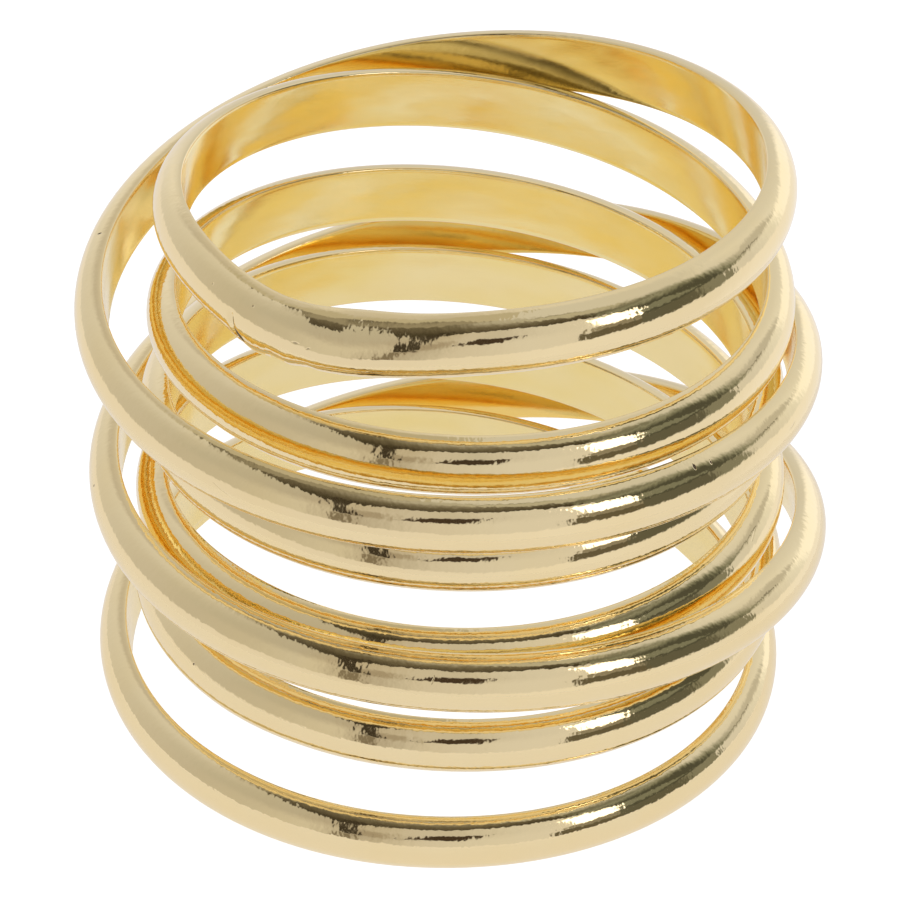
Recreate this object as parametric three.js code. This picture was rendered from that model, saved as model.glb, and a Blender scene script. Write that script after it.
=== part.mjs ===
// A layered finger ring: one half-round band, wound eight times about the finger and closed on itself.
// Five turns rise on the finger, and three more run down over them, back to where the band began.
// Millimetres, +Z up through the finger hole. The ring lies on Z = 0, with its box centred on the Z axis.
// Front is -Y, right is +X.
import * as THREE from 'three';

// The band's section: flat towards the finger, domed outwards.
const BAND = {
  width: 1.9, // along the finger
  thickness: 0.9, // from the flat face to the top of the dome
  corner: 0.05, // radius of the corners beside the flat face, where the dome begins
  cornerSteps: 2,
  domeSteps: 8,
};

// Each row leads one turn of the band, in order along it, with a height for its front, right, back and
// left, and the radius of the flat face at its right and left. The band also leans there, by so many
// degrees, with its upper edge farther out. The band's midline follows the rows as a smooth curve that
// rounds off each corner, and the last turn leads back into the first.
const TURNS = [
  // on the finger, rising
  { front: 1.6, right: 0.7, back: 1.5, left: 4.1, reachRight: 8.8, reachLeft: 8.8, leanRight: 0.5, leanLeft: 4.5 },
  { front: 4.8, right: 4.0, back: 4.7, left: 7.3, reachRight: 8.9, reachLeft: 8.7, leanRight: 4.0, leanLeft: -2.0 },
  { front: 8.0, right: 7.55, back: 7.85, left: 10.4, reachRight: 8.8, reachLeft: 8.5, leanRight: 3.0, leanLeft: 4.0 },
  { front: 11.4, right: 10.55, back: 11.05, left: 13.65, reachRight: 8.64, reachLeft: 8.2, leanRight: 3.5, leanLeft: 2.0 },
  { front: 14.9, right: 13.9, back: 14.65, left: 17.25, reachRight: 8.83, reachLeft: 7.95, leanRight: 3.0, leanLeft: 3.5 },
  // over the others, running down
  { front: 18.9, right: 18.25, back: 15.55, left: 13.25, reachRight: 8.4, reachLeft: 10.65, leanRight: -3.0, leanLeft: 5.5 },
  { front: 14.05, right: 12.5, back: 8.85, left: 7.3, reachRight: 9.45, reachLeft: 10.15, leanRight: 4.5, leanLeft: 1.5 },
  { front: 8.55, right: 6.4, back: 1.8, left: 0.7, reachRight: 10.1, reachLeft: 10.05, leanRight: -6.0, leanLeft: 5.5 },
];

// Where the band's two ends are joined: a kink, with a bead of metal along its lower edge.
// Angles are in degrees about the finger, from the front of a turn.
const JOINT = {
  turn: 5,
  kinkAngle: -34,
  kinkDepth: 0.53,
  kinkSpread: 25,
  beadAngle: -42,
  beadHeight: 0.2,
  beadSpread: 6,
};

const STEPS_A_TURN = 40; // sections about the finger
const STEPS_IN_KINK = 3; // as many in each of those steps at the joint

const QUARTERS = 4; // a place along the band is counted in quarter turns from the first front
const SLOPE_STEP = 0.01; // quarter turns, for measuring the direction of the band

const heights = TURNS.flatMap((turn) => [turn.front, turn.right, turn.back, turn.left]);
const reaches = quarterLeads((turn) => turn.reachRight, (turn) => turn.reachLeft);
const leans = quarterLeads((turn) => turn.leanRight, (turn) => turn.leanLeft);

// A closed list with one value for each quarter turn, from the values at the right and left of each turn.
function quarterLeads(atRight, atLeft) {
  return TURNS.flatMap((turn, n) => {
    const before = TURNS[(n + TURNS.length - 1) % TURNS.length];
    const front = (atLeft(before) + atRight(turn)) / 2;
    const back = (atRight(turn) + atLeft(turn)) / 2;
    return [front, atRight(turn), back, atLeft(turn)];
  });
}

// The smooth value at a place, led by a closed list with one value for each quarter turn.
function follow(leads, place) {
  const first = Math.floor(place);
  const t = place - first;
  const weights = [
    (1 - t) ** 3,
    3 * t ** 3 - 6 * t ** 2 + 4,
    -3 * t ** 3 + 3 * t ** 2 + 3 * t + 1,
    t ** 3,
  ];
  const lead = (k) => leads[(first + k - 1 + leads.length) % leads.length];
  return weights.reduce((sum, weight, k) => sum + weight * lead(k), 0) / 6;
}

// A bell with height 1 at an angle from the front of the joint's turn.
function bellAt(place, angle, spread) {
  const degrees = ((place - QUARTERS * JOINT.turn) * 360) / QUARTERS;
  return Math.exp(-(((degrees - angle) / spread) ** 2));
}

function outward(place) {
  const angle = (place * 2 * Math.PI) / QUARTERS;
  return new THREE.Vector3(Math.sin(angle), -Math.cos(angle), 0);
}

// The middle of the band's flat face at a place.
function faceMiddle(place) {
  const point = outward(place).multiplyScalar(follow(reaches, place));
  point.z = follow(heights, place) - JOINT.kinkDepth * bellAt(place, JOINT.kinkAngle, JOINT.kinkSpread);
  return point;
}

// The section's outline, with x outwards from the flat face and y up from its middle.
function bandSection() {
  const { width, thickness, corner, cornerSteps, domeSteps } = BAND;
  const half = width / 2;
  const lower = [];
  for (let i = 0; i <= cornerSteps; i++) {
    const a = (i / cornerSteps) * (Math.PI / 2);
    lower.push(new THREE.Vector2(corner * (1 - Math.cos(a)), -(half - corner) - corner * Math.sin(a)));
  }
  const dome = [];
  for (let i = 1; i < domeSteps; i++) {
    const a = (i / domeSteps - 0.5) * Math.PI;
    dome.push(new THREE.Vector2(corner + (thickness - corner) * Math.cos(a), half * Math.sin(a)));
  }
  const upper = lower.map((p) => new THREE.Vector2(p.x, -p.y)).reverse();
  return [...lower, ...dome, ...upper];
}

// The section's points where the band has reached a place.
function sectionAt(place, section) {
  const middle = faceMiddle(place);
  const along = faceMiddle(place + SLOPE_STEP).sub(faceMiddle(place - SLOPE_STEP)).normalize();
  const radial = outward(place);
  const lean = (follow(leans, place) * Math.PI) / 180;
  const out = radial.clone().addScaledVector(along, -radial.dot(along)).normalize();
  const up = new THREE.Vector3().crossVectors(out, along);
  out.applyAxisAngle(along, lean);
  up.applyAxisAngle(along, lean);
  const bead = JOINT.beadHeight * bellAt(place, JOINT.beadAngle, JOINT.beadSpread);
  return section.map((p) => {
    const towardsLowerEdge = Math.max(0, -p.y / (BAND.width / 2));
    return middle
      .clone()
      .addScaledVector(out, p.x)
      .addScaledVector(up, p.y - bead * towardsLowerEdge);
  });
}

// The places of all sections, closer together at the joint.
function sectionPlaces() {
  const places = [];
  const step = QUARTERS / STEPS_A_TURN;
  for (let i = 0; i < TURNS.length * STEPS_A_TURN; i++) {
    const inKink = bellAt((i + 0.5) * step, JOINT.kinkAngle, JOINT.kinkSpread) > 0.4;
    const parts = inKink ? STEPS_IN_KINK : 1;
    for (let k = 0; k < parts; k++) places.push((i + k / parts) * step);
  }
  return places;
}

// The closed skin through all sections.
function woundBand() {
  const section = bandSection();
  const places = sectionPlaces();
  const positions = places.flatMap((place) => sectionAt(place, section).flatMap((p) => p.toArray()));
  const index = [];
  for (let i = 0; i < places.length; i++) {
    const here = i * section.length;
    const next = ((i + 1) % places.length) * section.length;
    for (let j = 0; j < section.length; j++) {
      const k = (j + 1) % section.length;
      index.push(here + j, next + j, next + k, here + j, next + k, here + k);
    }
  }
  const geometry = new THREE.BufferGeometry();
  geometry.setAttribute('position', new THREE.Float32BufferAttribute(positions, 3));
  geometry.setIndex(index);
  geometry.computeBoundingBox();
  const { min, max } = geometry.boundingBox;
  geometry.translate(-(min.x + max.x) / 2, -(min.y + max.y) / 2, -min.z);
  geometry.computeVertexNormals();
  return geometry;
}

const goldPlate = new THREE.MeshStandardMaterial({ color: 0xdcc688, roughness: 0.15, metalness: 1 });

const band = new THREE.Mesh(woundBand(), goldPlate);
band.name = 'wound_band';

const ring = new THREE.Group();
ring.name = 'layered_ring';
ring.add(band);

export default ring;
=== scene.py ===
"""The layered ring: one half-round gold band wound eight times about the finger, in a white studio."""
import bisect
import logging
import math
from dataclasses import dataclass, field
from typing import Any, Iterable, Sequence

import bmesh
import bpy
from mathutils import Euler, Matrix, Quaternion, Vector


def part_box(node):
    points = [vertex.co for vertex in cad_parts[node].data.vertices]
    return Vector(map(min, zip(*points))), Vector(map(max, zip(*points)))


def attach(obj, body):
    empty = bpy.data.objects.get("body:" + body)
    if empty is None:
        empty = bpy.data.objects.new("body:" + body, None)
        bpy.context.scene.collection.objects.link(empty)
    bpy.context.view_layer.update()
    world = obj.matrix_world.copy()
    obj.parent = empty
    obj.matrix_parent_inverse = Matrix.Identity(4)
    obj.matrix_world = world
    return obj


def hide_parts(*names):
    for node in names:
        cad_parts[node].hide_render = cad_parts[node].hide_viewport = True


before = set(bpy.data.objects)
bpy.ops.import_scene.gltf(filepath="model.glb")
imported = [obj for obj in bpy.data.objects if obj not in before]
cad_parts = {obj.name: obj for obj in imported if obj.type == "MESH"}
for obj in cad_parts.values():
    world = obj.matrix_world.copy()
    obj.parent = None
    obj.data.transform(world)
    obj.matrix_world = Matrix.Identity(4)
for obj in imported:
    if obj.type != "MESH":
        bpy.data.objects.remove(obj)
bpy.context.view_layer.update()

MM = 0.001  # metres in a millimetre, the unit of all sizes below
QUARTERS = 4  # a place along the band is counted in quarter turns from the first front
BAND_NODE = "wound_band"
WELD = 0.002  # millimetres within which the seams of the band are closed
GLOSSY_BOUNCES = 10  # light finds its way out of the gaps between the turns

Colour = tuple[float, float, float]
log = logging.getLogger("layered_ring")


def degrees_from_front(place: float, turn: int) -> float:
    """The angle of a place along the band from the front of a turn."""
    return (place - QUARTERS * turn) * 360 / QUARTERS


def place_at(turn: int, degrees: float) -> float:
    """The place along the band at an angle from the front of a turn."""
    return QUARTERS * turn + degrees * QUARTERS / 360


# ---------------------------------------------------------------- shader building


class Term:
    """A shader socket that takes part in Python expressions on values."""

    def __init__(self, graph: "Graph", socket: bpy.types.NodeSocket | None) -> None:
        """Keeps the socket, which an output node has none of, and the graph that it is in."""
        self.graph = graph
        self.socket = socket

    def __add__(self, other: "Term | float") -> "Term":
        """self + other."""
        return self.graph.math("ADD", self, other)

    def __radd__(self, other: float) -> "Term":
        """other + self."""
        return self.graph.math("ADD", other, self)

    def __sub__(self, other: "Term | float") -> "Term":
        """self - other."""
        return self.graph.math("SUBTRACT", self, other)

    def __rsub__(self, other: float) -> "Term":
        """other - self."""
        return self.graph.math("SUBTRACT", other, self)

    def __mul__(self, other: "Term | float") -> "Term":
        """self * other."""
        return self.graph.math("MULTIPLY", self, other)

    def __rmul__(self, other: float) -> "Term":
        """other * self."""
        return self.graph.math("MULTIPLY", other, self)

    def __truediv__(self, other: "Term | float") -> "Term":
        """self / other."""
        return self.graph.math("DIVIDE", self, other)


class Graph:
    """Adds nodes to one node tree and links them."""

    def __init__(self, tree: bpy.types.NodeTree) -> None:
        """Starts with an empty tree."""
        self.tree = tree
        tree.nodes.clear()

    def node(
        self,
        kind: str,
        settings: dict[str, Any] | None = None,
        sockets: dict[str | int, Any] | None = None,
        out: str | int = 0,
    ) -> Term:
        """Adds one node.

        Args:
            kind: the node's type name.
            settings: what is set before its sockets; "stops" fills a colour ramp.
            sockets: input name or number to a Term that is linked, or to a value.
            out: the output that the result stands for.

        Returns:
            The chosen output, with the node behind it.
        """
        made = self.tree.nodes.new(kind)
        for name, value in (settings or {}).items():
            if name == "stops":
                self._fill_ramp(made.color_ramp, value)
            else:
                setattr(made, name, value)
        for name, value in (sockets or {}).items():
            if isinstance(value, Term):
                self.tree.links.new(value.socket, made.inputs[name])
            else:
                made.inputs[name].default_value = value
        return Term(self, made.outputs[out] if made.outputs else None)

    @staticmethod
    def _fill_ramp(ramp: bpy.types.ColorRamp, stops: Sequence[tuple[float, Colour]]) -> None:
        """Gives a colour ramp its stops, each a place from 0 to 1 and a colour."""
        while len(ramp.elements) < len(stops):
            ramp.elements.new(1.0)
        for element, (place, colour) in zip(ramp.elements, stops):
            element.position = place
            element.color = (*colour, 1.0)

    def math(self, operation: str, *terms: "Term | float") -> Term:
        """One Math node on one to three values."""
        return self.node("ShaderNodeMath", {"operation": operation}, dict(enumerate(terms)))

    def blend(self, share: Term, first: "Term | Colour", second: "Term | Colour") -> Term:
        """Mixes two colours.

        Args:
            share: 0 for all of the first and 1 for all of the second.
            first: a colour, or a socket that gives one.
            second: the same.

        Returns:
            The mixed colour.
        """
        ends = [end if isinstance(end, Term) else (*end, 1.0) for end in (first, second)]
        return self.node(
            "ShaderNodeMix",
            {"data_type": "RGBA", "clamp_factor": True},
            {0: share, 6: ends[0], 7: ends[1]},
            out=2,
        )

    def rise(self, value: Term, low: "Term | float", high: "Term | float") -> Term:
        """Makes a smooth step.

        Args:
            value: what is compared.
            low: where the step starts.
            high: where it ends.

        Returns:
            0 below low and 1 above high.
        """
        return self.node(
            "ShaderNodeMapRange",
            {"interpolation_type": "SMOOTHSTEP", "clamp": True},
            {0: value, 1: low, 2: high},
        )

    def noise(self, where: Term, length: float, detail: float = 2.0) -> Term:
        """Makes noise.

        Args:
            where: the place that it is read at.
            length: how far across its lumps are, in the units of the place.
            detail: how many finer layers it has.

        Returns:
            A value from 0 to 1.
        """
        return self.node(
            "ShaderNodeTexNoise",
            {"noise_dimensions": "3D"},
            {"Vector": where, "Scale": 1.0 / length, "Detail": detail, "Roughness": 0.5},
        )


# ---------------------------------------------------------------- the band's shape


@dataclass(frozen=True)
class Turn:
    """What leads one turn of the band: its heights, and its flat face's radius and lean at two sides."""

    front: float
    right: float
    back: float
    left: float
    reach_right: float
    reach_left: float
    lean_right: float  # degrees, with the upper edge farther out
    lean_left: float


TURNS = (
    # heights at front, right, back and left; reach at right and left; lean at right and left
    # on the finger, rising
    Turn(1.6, 0.7, 1.5, 4.1, 8.8, 8.8, 0.5, 4.5),
    Turn(4.8, 4.0, 4.7, 7.3, 8.9, 8.7, 4.0, -2.0),
    Turn(8.0, 7.55, 7.85, 10.4, 8.8, 8.5, 3.0, 4.0),
    Turn(11.4, 10.55, 11.05, 13.65, 8.64, 8.2, 3.5, 2.0),
    Turn(14.9, 13.9, 14.65, 17.25, 8.83, 7.95, 3.0, 3.5),
    # over the others, running down
    Turn(18.9, 18.25, 15.55, 13.25, 8.4, 10.65, -3.0, 5.5),
    Turn(14.05, 12.5, 8.85, 7.3, 9.45, 10.15, 4.5, 1.5),
    Turn(8.55, 6.4, 1.8, 0.7, 10.1, 10.05, -6.0, 5.5),
)


@dataclass(frozen=True)
class Swell:
    """A bell-shaped change along the band: its angle from the joint's front, spread and size."""

    angle: float
    spread: float
    size: float

    def at(self, degrees: float) -> float:
        """The change at an angle from the joint's front, in degrees."""
        return self.size * math.exp(-(((degrees - self.angle) / self.spread) ** 2))


@dataclass(frozen=True)
class Joint:
    """Where the band's two ends are soldered: a kink, a lumpy bead below and an open crack."""

    turn: int = 5
    kink: Swell = Swell(angle=-33, spread=25, size=0.56)
    beads: tuple[Swell, ...] = (
        Swell(angle=-42, spread=6, size=0.2),
        Swell(angle=-41.5, spread=1.4, size=0.05),
        Swell(angle=-37.2, spread=1.0, size=-0.05),
        Swell(angle=-33.6, spread=1.5, size=0.07),
        Swell(angle=-29.5, spread=1.2, size=-0.04),
    )
    crack: tuple[tuple[float, float], ...] = (
        # degrees from the joint's front, and height on the band
        (-45.6, 0.12),
        (-45.4, -0.3),
        (-44.6, -0.62),
        (-42.6, -1.05),
    )
    crack_width: float = 0.07
    crack_depth: float = 0.09
    filed: Swell = Swell(angle=-19.5, spread=9.5, size=0.14)  # how far the upper half slopes back
    filed_from: float = -0.25  # height on the band where that slope begins
    reach: float = 90.0  # degrees to each side within which the joint changes the band

    def degrees(self, place: float) -> float:
        """The angle of a place from the front of the joint's turn."""
        return degrees_from_front(place, self.turn)


@dataclass(frozen=True)
class Roll:
    """A stretch where the band is rolled about its own middle, in degrees, with the dome upwards."""

    turn: int
    swell: Swell

    def at(self, place: float) -> float:
        """The roll at a place along the band, in degrees."""
        return self.swell.at(degrees_from_front(place, self.turn))


ROLLS = (
    # the top turn, at the joint and at the back, where a larger roll would meet the turn inside it
    Roll(5, Swell(angle=-8, spread=45, size=6.0)),
    Roll(5, Swell(angle=172, spread=48, size=-3.0)),
    # the turns below the joint
    Roll(6, Swell(angle=25, spread=16, size=2.0)),
    Roll(4, Swell(angle=-22, spread=14, size=1.6)),
    # low down, where the two ends of the winding meet
    Roll(0, Swell(angle=15, spread=40, size=-7.4)),
    Roll(8, Swell(angle=15, spread=40, size=-7.4)),
    Roll(1, Swell(angle=5, spread=26, size=-4.8)),
    Roll(1, Swell(angle=-44, spread=13, size=4.5)),
    Roll(2, Swell(angle=2, spread=22, size=-4.2)),
    Roll(2, Swell(angle=-42, spread=14, size=4.2)),
)


@dataclass(frozen=True)
class Station:
    """The band at one place: the middle of its flat face, and its along, outward and up directions."""

    place: float
    middle: Vector
    along: Vector
    out: Vector
    up: Vector

    def point(self, outward: float, upward: float) -> Vector:
        """A point of the section, in millimetres."""
        return self.middle + self.out * outward + self.up * upward


@dataclass
class Route:
    """The band's closed path round the finger."""

    turns: Sequence[Turn]
    joint: Joint
    slope_step: float = 0.01  # quarter turns, for measuring the direction of the band

    def __post_init__(self) -> None:
        """Spreads the turns into one lead for each quarter turn."""
        self.quarters = QUARTERS * len(self.turns)
        self.heights = [h for t in self.turns for h in (t.front, t.right, t.back, t.left)]
        self.reaches = self._quarter_leads([(t.reach_right, t.reach_left) for t in self.turns])
        self.leans = self._quarter_leads([(t.lean_right, t.lean_left) for t in self.turns])

    @staticmethod
    def _quarter_leads(sides: Sequence[tuple[float, float]]) -> list[float]:
        """A closed list with a value for each quarter turn, from those at each turn's right and left."""
        leads: list[float] = []
        for before, (right, left) in zip((sides[-1], *sides[:-1]), sides):
            leads += [(before[1] + right) / 2, right, (right + left) / 2, left]
        return leads

    @staticmethod
    def follow(leads: Sequence[float], place: float) -> float:
        """Follows a closed list smoothly, rounding off each corner.

        Args:
            leads: one value for each quarter turn.
            place: where along the band, in quarter turns.

        Returns:
            The value there.
        """
        first = math.floor(place)
        t = place - first
        weights = (
            (1 - t) ** 3,
            3 * t**3 - 6 * t**2 + 4,
            -3 * t**3 + 3 * t**2 + 3 * t + 1,
            t**3,
        )
        return sum(w * leads[(first + k - 1) % len(leads)] for k, w in enumerate(weights)) / 6

    def radial(self, place: float) -> Vector:
        """The level direction away from the finger at a place."""
        angle = place * 2 * math.pi / QUARTERS
        return Vector((math.sin(angle), -math.cos(angle), 0.0))

    def face_middle(self, place: float) -> Vector:
        """The middle of the band's flat face at a place."""
        point = self.radial(place) * self.follow(self.reaches, place)
        kink = self.joint.kink.at(self.joint.degrees(place))
        point.z = self.follow(self.heights, place) - kink
        return point

    def station(self, place: float) -> Station:
        """The band's middle and directions at a place."""
        ahead, behind = (self.face_middle(place + s) for s in (self.slope_step, -self.slope_step))
        along = (ahead - behind).normalized()
        radial = self.radial(place)
        out = (radial - along * radial.dot(along)).normalized()
        out.rotate(Quaternion(along, math.radians(self.follow(self.leans, place))))
        return Station(place, self.face_middle(place), along, out, out.cross(along))


@dataclass(frozen=True)
class BandSection:
    """The half-round section: flat towards the finger, domed outwards."""

    width: float = 1.9
    thickness: float = 0.9
    corner: float = 0.05
    flat_steps: int = 6
    corner_steps: int = 3
    dome_steps: int = 30

    @property
    def half(self) -> float:
        """Half of the width."""
        return self.width / 2

    @property
    def flat(self) -> float:
        """The width of the flat face between its corners."""
        return self.width - 2 * self.corner

    def outline(self) -> list[Vector]:
        """The closed outline as points (outward, upward), from the flat face's lower end upwards."""
        flat = []
        for i in range(self.flat_steps):
            # closer together at both ends, so that the flat face shades flat
            share = (1 - math.cos(i / self.flat_steps * math.pi)) / 2
            flat.append(Vector((0.0, self.flat * (share - 0.5))))
        corner = []
        for i in range(self.corner_steps):
            a = i / self.corner_steps * math.pi / 2
            corner.append(
                Vector((self.corner * (1 - math.cos(a)), self.flat / 2 + self.corner * math.sin(a)))
            )
        dome = []
        for i in range(self.dome_steps + 1):
            a = (0.5 - i / self.dome_steps) * math.pi
            rise = (self.thickness - self.corner) * math.cos(a)
            dome.append(Vector((self.corner + rise, self.half * math.sin(a))))
        lower = [Vector((p.x, -p.y)) for p in reversed(corner[1:])]
        return [*flat, *corner, *dome, *lower]


@dataclass
class WoundBand:
    """The whole ring: the band swept along its route, with its soldered joint."""

    route: Route
    section: BandSection
    steps_a_turn: int = 150
    fine_stretch: tuple[float, float] = (-54.0, -20.0)  # degrees from the joint's front
    fine_split: int = 6  # how many steps take the place of one there
    laid: list[float] = field(default_factory=list)  # the places of the sections, once built
    along: list[float] = field(default_factory=list)  # millimetres from the first to each
    offset: Vector = field(default_factory=Vector)  # metres from the route to its place in the frame

    def places(self) -> list[float]:
        """The places of all sections, finer at the joint, ending where the band closes."""
        step = QUARTERS / self.steps_a_turn
        low, high = self.fine_stretch
        places: list[float] = []
        for i in range(self.route.quarters * self.steps_a_turn // QUARTERS):
            near = low < self.route.joint.degrees((i + 0.5) * step) < high
            parts = self.fine_split if near else 1
            places += [(i + k / parts) * step for k in range(parts)]
        return [*places, float(self.route.quarters)]

    def crack_at(self, degrees: float, outline_point: Vector) -> float:
        """Measures how deep the joint's crack is.

        Args:
            degrees: the angle from the joint's front.
            outline_point: the point of the section's outline.

        Returns:
            The depth there in millimetres, which is 0 on the flat face.
        """
        joint = self.route.joint
        if outline_point.x <= 0:
            return 0.0
        a_degree = math.radians(1) * self.route.follow(self.route.reaches, QUARTERS * joint.turn)
        here = Vector((degrees * a_degree, outline_point.y))
        nearest = math.inf
        for (a0, v0), (a1, v1) in zip(joint.crack, joint.crack[1:]):
            start, end = Vector((a0 * a_degree, v0)), Vector((a1 * a_degree, v1))
            share = (here - start).dot(end - start) / (end - start).length_squared
            nearest = min(nearest, (here - start.lerp(end, min(1.0, max(0.0, share)))).length)
        return joint.crack_depth * math.exp(-((nearest / joint.crack_width) ** 2))

    def surface_point(self, station: Station, outline_point: Vector) -> Vector:
        """Places a point of the finished surface, with the rolls and the joint's bead, crack and filing.

        Args:
            station: the band at the point's place.
            outline_point: the point of the section's outline.

        Returns:
            The point in millimetres, before the band is seated in the frame.
        """
        joint = self.route.joint
        degrees = joint.degrees(station.place)
        middle = Vector((self.section.thickness / 2, 0.0))
        roll = Matrix.Rotation(math.radians(sum(roll.at(station.place) for roll in ROLLS)), 2)
        outward, upward = middle + roll @ (outline_point - middle)
        if abs(degrees) < joint.reach:
            low = max(0.0, -upward / self.section.half)
            upward -= sum(bead.at(degrees) for bead in joint.beads) * low
            outward -= self.crack_at(degrees, outline_point)
            outward -= joint.filed.at(degrees) * max(0.0, upward - joint.filed_from)
        return station.point(outward, upward)

    def build(self) -> bpy.types.Object:
        """Makes the band's mesh object, closed along its route and round its section."""
        outline = self.section.outline()
        self.laid = self.places()
        stations = [self.route.station(place) for place in self.laid]
        around = self._lengths([*outline, outline[0]])
        self.along = self._lengths([station.middle for station in stations])
        mesh = bmesh.new()
        chart = mesh.loops.layers.uv.new("band_chart")
        columns, rows = len(stations) - 1, len(outline)
        bmesh.ops.create_grid(mesh, x_segments=columns, y_segments=rows, size=0.5)
        spot = {v: (round((v.co.x + 0.5) * columns), round((v.co.y + 0.5) * rows)) for v in mesh.verts}
        for face in mesh.faces:
            face.smooth = True
            for loop in face.loops:
                column, row = spot[loop.vert]
                loop[chart].uv = (self.along[column], around[row])
        for vert, (column, row) in spot.items():
            vert.co = self.surface_point(stations[column], outline[row % rows])
        bmesh.ops.remove_doubles(mesh, verts=mesh.verts, dist=WELD)
        bmesh.ops.recalc_face_normals(mesh, faces=mesh.faces)
        self._seat(mesh)
        data = bpy.data.meshes.new("polished_band")
        mesh.to_mesh(data)
        mesh.free()
        band = bpy.data.objects.new("polished_band", data)
        bpy.context.scene.collection.objects.link(band)
        return band

    @staticmethod
    def _lengths(points: Sequence[Vector]) -> list[float]:
        """How far each point is from the first, measured from point to point."""
        lengths = [0.0]
        for here, after in zip(points, points[1:]):
            lengths.append(lengths[-1] + (after - here).length)
        return lengths

    def _seat(self, mesh: bmesh.types.BMesh) -> None:
        """Moves the finished mesh, in millimetres, into the frame's box for the band, in metres."""
        bmesh.ops.scale(mesh, vec=Vector((MM, MM, MM)), verts=mesh.verts)
        low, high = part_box(BAND_NODE)
        corners = [
            Vector([pick(v.co[k] for v in mesh.verts) for k in range(3)]) for pick in (min, max)
        ]
        shift = (Vector(low) + Vector(high) - corners[0] - corners[1]) / 2
        shift.z = low[2] - corners[0].z
        self.offset = shift
        bmesh.ops.translate(mesh, vec=shift, verts=mesh.verts)

    def chart_along(self, degrees: float) -> float:
        """The chart's distance along the band at an angle from the joint's front."""
        place = place_at(self.route.joint.turn, degrees)
        return self.along[bisect.bisect_left(self.laid, place)]

    def locate(self, turn: int, degrees: float, height: float) -> tuple[Vector, Matrix]:
        """Finds a spot on the dome.

        Args:
            turn: the turn's number, from 0 for the lowest.
            degrees: the angle from the front of that turn.
            height: the distance above the band's middle, in millimetres.

        Returns:
            The spot in metres, and the directions along, up and out as a turning matrix.
        """
        station = self.route.station(place_at(turn, degrees))
        slope = math.asin(max(-1.0, min(1.0, height / self.section.half)))
        rise = (self.section.thickness - self.section.corner) * math.cos(slope)
        spot = station.point(self.section.corner + rise, height) * MM + self.offset
        turned = Matrix((station.along, station.up, station.out)).transposed()
        return spot, turned


# ---------------------------------------------------------------- the band's finish


@dataclass(frozen=True)
class Mark:
    """A pit or scratch in the dome: where it is, its half length, half width, lean and depth."""

    turn: int
    degrees: float
    height: float
    length: float = 0.05
    width: float = 0.05
    lean: float = 0.0
    depth: float = 0.02


MARK_REACH = 0.3  # millimetres off its middle within which a mark touches the surface
MARK_RIM = (0.3, 1.0)  # shares of a mark's size between which it rises to the surface

MARKS = (
    # small pits; the deeper ones are painted dark brown as their shade
    Mark(turn=6, degrees=38.8, height=0.84, length=0.06, width=0.06, depth=0.05),
    Mark(turn=6, degrees=42.0, height=0.8),
    Mark(turn=6, degrees=-98.5, height=0.88),
    Mark(turn=7, degrees=-79.0, height=0.43),
    Mark(turn=1, degrees=-52.0, height=0.43),
    Mark(turn=5, degrees=-52.0, height=0.56, depth=0.01),
    Mark(turn=5, degrees=-41.2, height=0.67, depth=0.01),
    Mark(turn=5, degrees=-30.4, height=0.2, length=0.16, width=0.05, depth=0.012),
    Mark(turn=5, degrees=-27.8, height=0.12, length=0.1, width=0.04, lean=20, depth=0.012),
    # the joint's crack, painted dark brown as its shade
    Mark(turn=5, degrees=-45.1, height=-0.1, length=0.32, width=0.085, lean=96, depth=0.03),
    Mark(turn=5, degrees=-43.9, height=-0.42, length=0.36, width=0.12, lean=-46, depth=0.035),
    # scratches
    Mark(turn=6, degrees=-36.0, height=0.12, length=0.5, width=0.03, lean=-20, depth=0.006),
    Mark(turn=7, degrees=-3.2, height=0.5, length=0.16, width=0.03, lean=70, depth=0.006),
    Mark(turn=6, degrees=63.0, height=0.34, length=0.3, width=0.03, lean=12, depth=0.008),
    Mark(turn=2, degrees=65.5, height=0.68, length=0.3, width=0.03, lean=12, depth=0.008),
)


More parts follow.
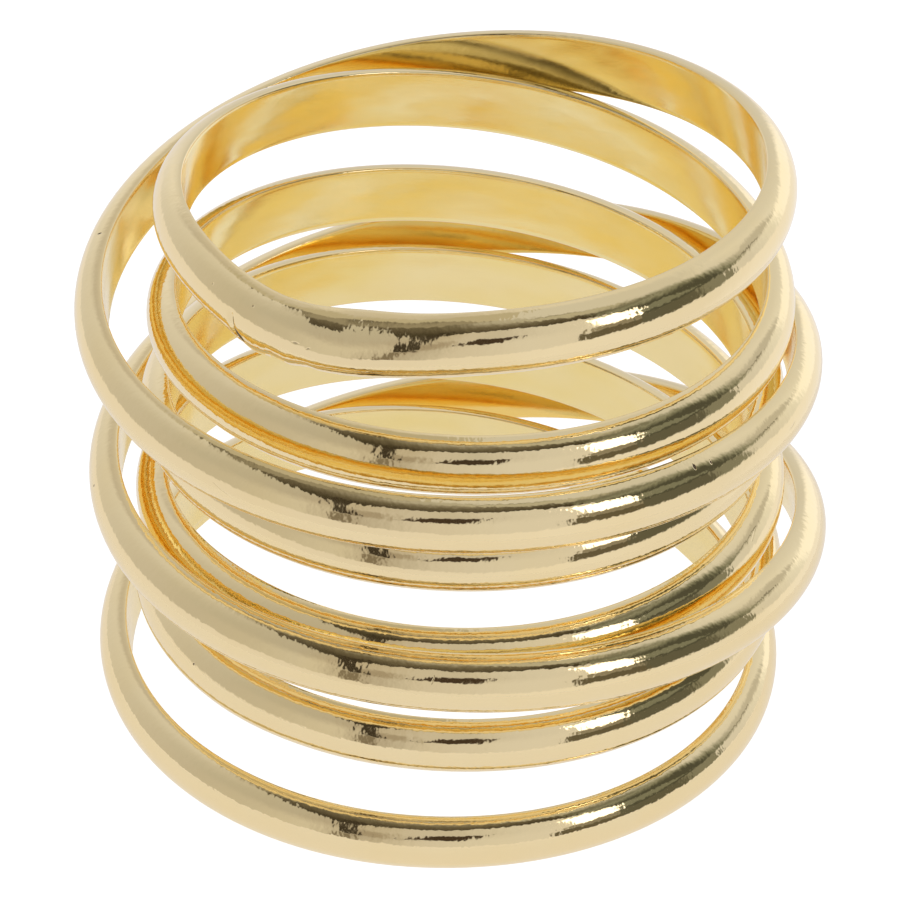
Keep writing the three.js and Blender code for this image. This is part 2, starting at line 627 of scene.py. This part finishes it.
@dataclass(frozen=True)
class GoldPlate:
    """Pale gold plating: polished outside with a fine orange peel, satin on the flat inside."""

    tint: Colour = (0.98, 0.832, 0.50)
    warm_tint: Colour = (0.98, 0.822, 0.475)
    # the two satin tints are painted bounce light: deeper yellow than the polish, for the colour light
    # takes bouncing between the gold faces
    satin_bounce_tint: Colour = (1.0, 0.862, 0.46)
    satin_bounce_deep: Colour = (0.985, 0.815, 0.34)
    pit_shade_colour: Colour = (0.15, 0.10, 0.05)  # painted shade in the deeper pits and the joint's crack
    pit_shade_depths: tuple[float, float] = (0.006, 0.018)  # depths of marks, from none of that painted shade to all of it
    pit_shade_roughness: float = 0.5
    flat_edge: tuple[float, float] = (-0.02, 0.04)  # from the satin to the polish, past the flat face
    patch_length: float = 2.5  # of the broad patches of warmer plating
    patch_span: tuple[float, float] = (0.35, 0.75)
    polish: float = 0.06
    smudge: float = 0.05
    smudge_length: float = 1.2
    smudge_span: tuple[float, float] = (0.45, 0.8)
    satin: float = 0.15
    satin_spread: float = 0.05
    blotch_length: float = 0.8
    blotch_draw: float = 0.35  # how much these are drawn out along the band
    blotch_span: tuple[float, float] = (0.25, 0.75)
    peel_length: float = 0.45
    peel_height: float = 0.008
    ripple_length: float = 0.16
    ripple_height: float = 0.005
    wave_length: float = 0.9  # of the soft unevenness inside
    wave_height: float = 0.013
    wave_draw: float = 0.5
    bounce_cloud_length: float = 1.8  # of the deeper yellow clouds inside, painted bounce colour in clouds placed at random
    bounce_cloud_draw: float = 0.4
    bounce_cloud_span: tuple[float, float] = (0.35, 0.8)
    grain_length: float = 0.06
    grain_height: float = 0.0008
    # the file's slopes: where each starts and is full, then fades and is gone, from the joint's front
    file_fall: tuple[float, float, float, float] = (-37, -2, 95, 175)
    file_depth: float = 0.26
    file_tilt: tuple[float, float, float, float] = (-31, -20, -10, 1)
    file_slope: float = 0.08
    file_middle: float = 3.3  # the chart's distance round the band where the tilt begins

    def material(self, band: WoundBand) -> bpy.types.Material:
        """Makes the material.

        Args:
            band: the finished band, which the marks and the file's slopes are placed on.

        Returns:
            The plating.
        """
        made = bpy.data.materials.new("gold_plate")
        made.use_nodes = True
        g = Graph(made.node_tree)
        place = g.node("ShaderNodeTexCoord", out="Object")
        spot = g.node("ShaderNodeVectorMath", {"operation": "SCALE"}, {0: place, "Scale": 1 / MM})
        chart = g.node("ShaderNodeUVMap", {"uv_map": "band_chart"})
        around = g.node("ShaderNodeSeparateXYZ", sockets={0: chart}, out="Y")
        flat = band.section.flat
        inside = 1 - g.rise(around, *(flat + edge for edge in self.flat_edge))
        marks = self._marks(g, place, band)
        # painted shade: the deeper a pit or crack mark, the more it is dark brown, rougher and not metal
        pit_shade_share = g.rise(marks, *self.pit_shade_depths)
        colour = g.blend(pit_shade_share, self._colour(g, spot, chart, inside), self.pit_shade_colour)
        roughness = self._roughness(g, spot, chart, inside) + pit_shade_share * self.pit_shade_roughness
        height = self._relief(g, spot, chart, inside) + self._filing(g, chart, band) - marks
        bump = g.node("ShaderNodeBump", sockets={"Height": height, "Distance": MM, "Strength": 1.0})
        shader = g.node(
            "ShaderNodeBsdfPrincipled",
            sockets={
                "Base Color": colour,
                "Metallic": 1 - pit_shade_share,
                "Roughness": roughness,
                "Normal": bump,
            },
        )
        g.node("ShaderNodeOutputMaterial", sockets={"Surface": shader})
        return made

    def _colour(self, g: Graph, spot: Term, chart: Term, inside: Term) -> Term:
        """The plating's tint, a little warmer in broad patches; inside, a deeper yellow with deeper
        clouds, painted for the colour of light bounced between the gold faces.
        """
        patches = g.noise(spot, self.patch_length)
        outside = g.blend(g.rise(patches, *self.patch_span), self.tint, self.warm_tint)
        bounce_clouds = g.noise(self._drawn(g, chart, self.bounce_cloud_draw), self.bounce_cloud_length)
        satin = g.blend(g.rise(bounce_clouds, *self.bounce_cloud_span), self.satin_bounce_tint, self.satin_bounce_deep)
        return g.blend(inside, outside, satin)

    @staticmethod
    def _drawn(g: Graph, chart: Term, share: float) -> Term:
        """The chart squeezed along the band, which draws out what is mapped with it."""
        return g.node("ShaderNodeMapping", sockets={"Vector": chart, "Scale": (share, 1.0, 1.0)})

    def _roughness(self, g: Graph, spot: Term, chart: Term, inside: Term) -> Term:
        """Polish with faint smudges outside, and a blotchy satin inside."""
        smudges = g.rise(g.noise(spot, self.smudge_length, detail=4.0), *self.smudge_span)
        drawn = self._drawn(g, chart, self.blotch_draw)
        blotches = g.rise(g.noise(drawn, self.blotch_length, detail=3.0), *self.blotch_span)
        polished = self.polish + smudges * self.smudge
        satin = self.satin + (blotches - 0.5) * (2 * self.satin_spread)
        return polished + inside * (satin - polished)

    def _relief(self, g: Graph, spot: Term, chart: Term, inside: Term) -> Term:
        """The fine relief in millimetres: orange peel outside, and soft waves and grain inside."""
        peel = g.noise(spot, self.peel_length, detail=1.0) * self.peel_height
        ripple = g.noise(spot, self.ripple_length, detail=1.0) * self.ripple_height
        drawn = self._drawn(g, chart, self.wave_draw)
        waves = g.noise(drawn, self.wave_length, detail=1.0) * self.wave_height
        grain = g.noise(spot, self.grain_length, detail=1.0) * self.grain_height
        polished = peel + ripple
        return polished + inside * (waves + grain - polished)

    def _filing(self, g: Graph, chart: Term, band: WoundBand) -> Term:
        """The slight slopes, in millimetres, that the file left beside the joint."""
        along, around = (
            g.node("ShaderNodeSeparateXYZ", sockets={0: chart}, out=axis) for axis in "XY"
        )
        start, end, back, past = (band.chart_along(degrees) for degrees in self.file_fall)
        fall = (g.rise(along, back, past) - g.rise(along, start, end)) * self.file_depth
        low, full, less, none = (band.chart_along(degrees) for degrees in self.file_tilt)
        tilted = g.rise(along, low, full) * (1 - g.rise(along, less, none))
        upper = g.math("MAXIMUM", self.file_middle - around, 0.0)
        return fall - tilted * upper * self.file_slope

    @staticmethod
    def _marks(g: Graph, place: Term, band: WoundBand) -> Term:
        """The depth of all pits and scratches, in millimetres."""
        total: Term | float = 0.0
        for mark in MARKS:
            spot, turned = band.locate(mark.turn, mark.degrees, mark.height)
            turned = turned @ Matrix.Rotation(math.radians(mark.lean), 3, "Z")
            near = g.node(
                "ShaderNodeMapping",
                {"vector_type": "TEXTURE"},
                {
                    "Vector": place,
                    "Location": spot,
                    "Rotation": turned.to_euler(),
                    "Scale": (mark.length * MM, mark.width * MM, MARK_REACH * MM),
                },
            )
            far = g.node("ShaderNodeVectorMath", {"operation": "LENGTH"}, {0: near}, out="Value")
            total = (1 - g.rise(far, *MARK_RIM)) * mark.depth + total
        return total


# ---------------------------------------------------------------- the studio


@dataclass(frozen=True)
class Panel:
    """A lit or dark patch of the tent round the ring, seen from the ring, in degrees."""

    name: str
    left: float
    right: float
    low: float
    high: float
    colour: Colour
    soft: float = 1.5
    fade: float = 0.0  # how much softer its upper edge is
    trail: float = 0.0  # how much softer its right edge is
    lean: float = 0.0  # how far it moves to the right for each degree up

    def share(self, g: Graph, azimuth: Term, elevation: Term) -> Term:
        """Makes the panel's mask.

        Args:
            g: the graph of the tent.
            azimuth: degrees from the front towards the right.
            elevation: degrees above the ring.

        Returns:
            1 on the panel and 0 off it.
        """
        across = azimuth - elevation * self.lean if self.lean else azimuth
        above = self.soft + self.fade
        beside = self.soft + self.trail
        return (
            g.rise(across, self.left - self.soft, self.left + self.soft)
            * (1 - g.rise(across, self.right - beside, self.right + beside))
            * g.rise(elevation, self.low - self.soft, self.low + self.soft)
            * (1 - g.rise(elevation, self.high - above, self.high + above))
        )


Rows = Sequence[tuple[float, Colour]]

DAYLIGHT: Colour = (1.0, 0.96, 0.98)  # the tint of the light that falls on the ring

FLOOR_FAR: Rows = (
    # degrees from the front towards the right, and the brightness of the far floor
    (-180, (0.98, 0.99, 1.00)),
    (-150, (1.02, 1.02, 1.01)),
    (-100, (1.00, 0.99, 0.98)),
    (-60, (0.96, 0.95, 0.94)),
    (-28, (0.94, 0.93, 0.92)),
    (0, (0.98, 0.98, 0.97)),
    (30, (1.03, 1.03, 1.02)),
    (90, (1.00, 1.00, 1.00)),
    (112, (1.09, 1.10, 1.12)),
    (140, (1.11, 1.13, 1.15)),
    (160, (1.14, 1.16, 1.18)),
    (180, (0.98, 0.99, 1.00)),
)

FLOOR_EDGE = (
    # degrees from the front towards the right, and the elevation where the walls rise from the floor
    (-180, -12),
    (-140, -7),
    (-100, -9),
    (-68, -11.5),
    (-40, -16),
    (0, -19.5),
    (25, -17),
    (37, -13.5),
    (46, -11),
    (90, -9),
    (100, -6),
    (120, -8),
    (180, -12),
)

WALL_BELOW: Rows = (
    # degrees from the front towards the right, and the wall's brightness low down there
    (-180, (0.78, 0.80, 0.81)),
    (-160, (1.00, 1.02, 1.03)),
    (-140, (0.86, 0.87, 0.86)),
    (-105, (0.73, 0.73, 0.71)),
    (-80, (0.67, 0.66, 0.62)),
    (-60, (0.70, 0.69, 0.64)),
    (-40, (0.79, 0.78, 0.72)),
    (-26, (0.55, 0.52, 0.48)),
    (-16, (0.68, 0.67, 0.64)),
    (-8, (0.79, 0.78, 0.76)),
    (16, (0.87, 0.88, 0.88)),
    (60, (0.90, 0.90, 0.90)),
    (108, (0.84, 0.86, 0.88)),
    (128, (1.02, 1.06, 1.08)),
    (180, (0.78, 0.80, 0.81)),
)

WALL_ABOVE: Rows = (
    # the same, high up
    (-180, (0.90, 0.90, 0.86)),
    (-172, (0.76, 0.75, 0.70)),
    (-150, (0.66, 0.65, 0.62)),
    (-140, (0.84, 0.85, 0.84)),
    (-124, (0.80, 0.81, 0.80)),
    (-105, (0.72, 0.72, 0.69)),
    (-80, (0.64, 0.64, 0.60)),
    (-50, (0.61, 0.60, 0.56)),
    (-38, (0.58, 0.55, 0.50)),
    (-26, (0.64, 0.61, 0.55)),
    (-10, (0.73, 0.72, 0.70)),
    (5, (0.69, 0.69, 0.67)),
    (16, (0.77, 0.77, 0.76)),
    (30, (0.83, 0.84, 0.84)),
    (60, (0.88, 0.88, 0.88)),
    (110, (0.84, 0.86, 0.86)),
    (135, (0.92, 0.94, 0.94)),
    (157, (0.86, 0.88, 0.88)),
    (180, (0.90, 0.90, 0.86)),
)

ROOF: Rows = (
    # elevation, and the roof's brightness from its dark lower edge up
    (45, (0.06, 0.05, 0.035)),
    (56, (0.08, 0.07, 0.045)),
    (62, (0.125, 0.11, 0.08)),
    (70, (0.185, 0.17, 0.125)),
    (76, (0.29, 0.275, 0.225)),
    (83, (0.42, 0.41, 0.36)),
    (90, (0.52, 0.52, 0.48)),
)

ROOF_EDGE = (
    # degrees from the front towards the right, and the elevation of the roof's edge there
    (-180, 58),
    (-140, 54.5),
    (-128, 58),
    (-108, 61),
    (-82, 60.5),
    (-71, 57),
    (-60, 54.5),
    (-45, 49),
    (-37, 43),
    (-26, 54.5),
    (-8, 57.5),
    (4, 56.5),
    (14, 57),
    (30, 55.5),
    (40, 54),
    (50, 50),
    (60, 47),
    (180, 57),
)

PANELS = (
    # seen from the front round to the right: name, edges, colour
    Panel("roof_left", left=-152, right=-97, low=60, high=84, colour=(0.37, 0.35, 0.28), soft=7),
    Panel("open_left", left=-196, right=-138, low=50, high=99, colour=(0.60, 0.58, 0.48), soft=5),
    Panel(
        "roof_right", left=156, right=200, low=57, high=99,
        colour=(0.58, 0.58, 0.50), soft=8, lean=-1.5,
    ),
    Panel("open_right", left=94, right=190, low=48, high=99, colour=(0.78, 0.80, 0.80), soft=6),
    Panel("zenith", left=-200, right=200, low=84, high=99, colour=(0.55, 0.55, 0.50), soft=5),
    Panel("back_light", left=129, right=163, low=-16, high=14, colour=(1.28, 1.32, 1.36), soft=4),
    Panel("side_shade", left=98, right=134, low=13, high=29, colour=(0.66, 0.67, 0.66), soft=4),
    Panel("side_line", left=98, right=120, low=16, high=18.5, colour=(0.30, 0.30, 0.27), soft=1.0),
    Panel(
        "side_haze", left=57.5, right=107, low=13, high=55,
        colour=(0.29, 0.31, 0.25), soft=1.5, fade=9, trail=7,
    ),
    Panel(
        "side_dark", left=57.5, right=99, low=13, high=43,
        colour=(0.10, 0.105, 0.082), soft=1.4, fade=4, trail=4,
    ),
    Panel(
        "side_window", left=72, right=102, low=20, high=34,
        colour=(0.25, 0.27, 0.22), soft=1.6, lean=-0.7,
    ),
    Panel("sill", left=36, right=60, low=-20, high=6.5, colour=(0.155, 0.14, 0.10), soft=1.3),
    Panel(
        "sill_right", left=57.5, right=98, low=-20, high=15,
        colour=(0.145, 0.147, 0.115), soft=1.4,
    ),
    Panel("sill_end", left=84, right=98, low=-20, high=15, colour=(0.28, 0.29, 0.24), soft=2.0),
    Panel("box_foot", left=40, right=58, low=6, high=16, colour=(0.33, 0.31, 0.25), soft=1.5),
    Panel("soft_box", left=44.5, right=60.5, low=17.5, high=42, colour=(3.0, 3.0, 3.0), soft=1.3),
    Panel("box_corner", left=59, right=64.5, low=28, high=39.5, colour=(2.6, 2.6, 2.6), soft=1.3),
    Panel(
        "camera_gap", left=-20.5, right=-0.5, low=16.5, high=33,
        colour=(0.07, 0.05, 0.035), soft=1.8, lean=0.5,
    ),
    Panel("seam_shade", left=-27, right=-15, low=12, high=31, colour=(0.47, 0.43, 0.37), soft=4.5),
    Panel(
        "seam_foot", left=-31, right=-25.5, low=-18, high=11,
        colour=(0.27, 0.24, 0.19), soft=1.5,
    ),
    Panel(
        "seam", left=-26.5, right=-20, low=12.5, high=60,
        colour=(0.06, 0.05, 0.035), soft=1.4, lean=-0.25,
    ),
)


@dataclass(frozen=True)
class Tent:
    """The white tent round the ring: walls, a dark roof edge, and the panels in it."""

    power: float = 0.81  # how bright the tent is, against what the tables say
    roof_soft: float = 1.2
    floor_soft: float = 2.2
    wall_bend: tuple[float, float] = (12.0, 36.0)  # elevations between the low and high brightness

    def build(self) -> None:
        """Makes the world of the scene."""
        world = bpy.data.worlds.new("tent")
        world.use_nodes = True
        world.cycles.sampling_method = "NONE"  # rays from the ring reach the even tent by themselves
        bpy.context.scene.world = world
        g = Graph(world.node_tree)
        ray = g.node("ShaderNodeTexCoord", out="Generated")
        x, y, z = (
            g.node("ShaderNodeSeparateXYZ", sockets={0: ray}, out=axis) for axis in "XYZ"
        )
        azimuth = g.math("ARCTAN2", x, y * -1) * math.degrees(1)
        elevation = g.math("ARCSINE", z) * math.degrees(1)
        high = g.rise(elevation, *self.wall_bend)
        below, above = (self._ramp(g, azimuth, rows) for rows in (WALL_BELOW, WALL_ABOVE))
        colour = g.blend(high, below, above)
        over_edge = elevation - self._edge(g, azimuth, ROOF_EDGE)
        roof = g.rise(over_edge, -self.roof_soft, self.roof_soft)
        colour = g.blend(roof, colour, self._ramp(g, elevation, ROOF))
        for panel in PANELS:
            colour = g.blend(panel.share(g, azimuth, elevation), colour, panel.colour)
        over_floor = elevation - self._edge(g, azimuth, FLOOR_EDGE)
        walls = g.rise(over_floor, -self.floor_soft, self.floor_soft)
        colour = g.blend(walls, self._ramp(g, azimuth, FLOOR_FAR), colour)
        tinted = {0: colour, 1: DAYLIGHT}
        daylight = g.node("ShaderNodeVectorMath", {"operation": "MULTIPLY"}, tinted)
        glow = g.node("ShaderNodeBackground", sockets={"Color": daylight, "Strength": self.power})
        g.node("ShaderNodeOutputWorld", sockets={"Surface": glow})

    def _edge(self, g: Graph, azimuth: Term, rows: Sequence[tuple[float, float]]) -> Term:
        """Follows an edge of the tent.

        Args:
            g: the graph of the tent.
            azimuth: degrees from the front towards the right.
            rows: azimuths, and the elevation of the edge there.

        Returns:
            The elevation of the edge, in degrees.
        """
        shares = [(degrees, ((edge + 90) / 180,) * 3) for degrees, edge in rows]
        return self._ramp(g, azimuth, shares) * 180 - 90

    @staticmethod
    def _ramp(g: Graph, value: Term, rows: Rows) -> Term:
        """Colours a value.

        Args:
            g: the graph of the tent.
            value: an angle in degrees.
            rows: angles in order, and the colour there.

        Returns:
            The colour at the value.
        """
        low, high = rows[0][0], rows[-1][0]
        stops = [((degrees - low) / (high - low), colour) for degrees, colour in rows]
        share = (value - low) / (high - low)
        return g.node("ShaderNodeValToRGB", {"stops": stops}, {0: share})


@dataclass(frozen=True)
class Floor:
    """A plain white floor, which the ring mirrors only in a circle under it."""

    half: float = 1500.0
    table: float = 26.0  # how far out the ring mirrors this floor, and not the tent's
    soft: float = 1.5
    albedo: float = 0.3
    glow: float = 0.66
    seen: float = 1.5  # how much brighter the floor looks to the camera than in the ring
    gap: float = 0.002  # below the ring, so that their faces don't meet

    def build(self) -> None:
        """Makes the floor and gives it its material."""
        mesh = bmesh.new()
        bmesh.ops.create_grid(mesh, x_segments=1, y_segments=1, size=self.half * MM)
        bmesh.ops.translate(mesh, vec=Vector((0, 0, -self.gap * MM)), verts=mesh.verts)
        data = bpy.data.meshes.new("floor")
        mesh.to_mesh(data)
        mesh.free()
        floor = bpy.data.objects.new("floor", data)
        bpy.context.scene.collection.objects.link(floor)
        data.materials.append(self._material())

    def _material(self) -> bpy.types.Material:
        """White, and lit a little by itself so that it stays pale."""
        made = bpy.data.materials.new("white_floor")
        made.use_nodes = True
        g = Graph(made.node_tree)
        place = g.node("ShaderNodeTexCoord", out="Object")
        far = g.node("ShaderNodeVectorMath", {"operation": "LENGTH"}, {0: place}, out="Value") / MM
        straight = g.node("ShaderNodeLightPath", out="Is Camera Ray")
        glow = self.glow * (1 + straight * (self.seen - 1))
        tinted = [glow * (1 + (1 - straight) * (c - 1)) for c in DAYLIGHT]
        white = g.node(
            "ShaderNodeBsdfPrincipled",
            sockets={
                "Base Color": (self.albedo, self.albedo, self.albedo, 1.0),
                "Roughness": 0.9,
                "Specular IOR Level": 0.0,
                "Emission Color": g.node("ShaderNodeCombineColor", sockets=dict(enumerate(tinted))),
                "Emission Strength": 1.0,
            },
        )
        beyond = g.rise(far, self.table - self.soft, self.table + self.soft) * (1 - straight)
        walls = g.node("ShaderNodeBsdfTransparent")
        shader = g.node("ShaderNodeMixShader", sockets={0: beyond, 1: white, 2: walls})
        g.node("ShaderNodeOutputMaterial", sockets={"Surface": shader})
        return made


@dataclass(frozen=True)
class Viewpoint:
    """The camera: in front of the ring and above it, close by, with a long lens."""

    aim: tuple[float, float, float] = (0.123, 0.025, 9.218)
    elevation: float = 37.81
    distance: float = 150.516
    roll: float = 1.376
    lens: float = 203.612
    sensor: float = 36.0
    shift: tuple[float, float] = (-0.01126, -0.03061)
    clip: tuple[float, float] = (0.005, 10.0)  # metres

    def build(self) -> None:
        """Makes the camera of the scene."""
        data = bpy.data.cameras.new("camera")
        data.lens, data.sensor_width = self.lens, self.sensor
        data.shift_x, data.shift_y = self.shift
        data.clip_start, data.clip_end = self.clip
        data.dof.use_dof = False
        camera = bpy.data.objects.new("camera", data)
        bpy.context.scene.collection.objects.link(camera)
        tilt = math.radians(self.elevation)
        back = Vector((0.0, -math.cos(tilt), math.sin(tilt)))
        rolled = Matrix.Rotation(math.radians(self.roll), 3, "Z")
        turned = Euler((math.pi / 2 - tilt, 0.0, 0.0)).to_matrix() @ rolled
        camera.matrix_world = turned.to_4x4()
        camera.location = (Vector(self.aim) + back * self.distance) * MM
        bpy.context.scene.camera = camera


def main() -> None:
    """Builds the studio, then the band, and reports each."""
    logging.basicConfig(level=logging.INFO, format="%(name)s: %(message)s")
    bpy.context.scene.view_settings.view_transform = "Standard"
    bpy.context.scene.cycles.glossy_bounces = GLOSSY_BOUNCES
    Viewpoint().build()
    Tent().build()
    Floor().build()
    log.info("studio built")
    band = WoundBand(Route(TURNS, Joint()), BandSection())
    piece = band.build()
    piece.data.materials.append(GoldPlate().material(band))
    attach(piece, "root")
    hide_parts(BAND_NODE)
    log.info("%s: %d faces", piece.name, len(piece.data.polygons))


if __name__ == "__main__":
    main()
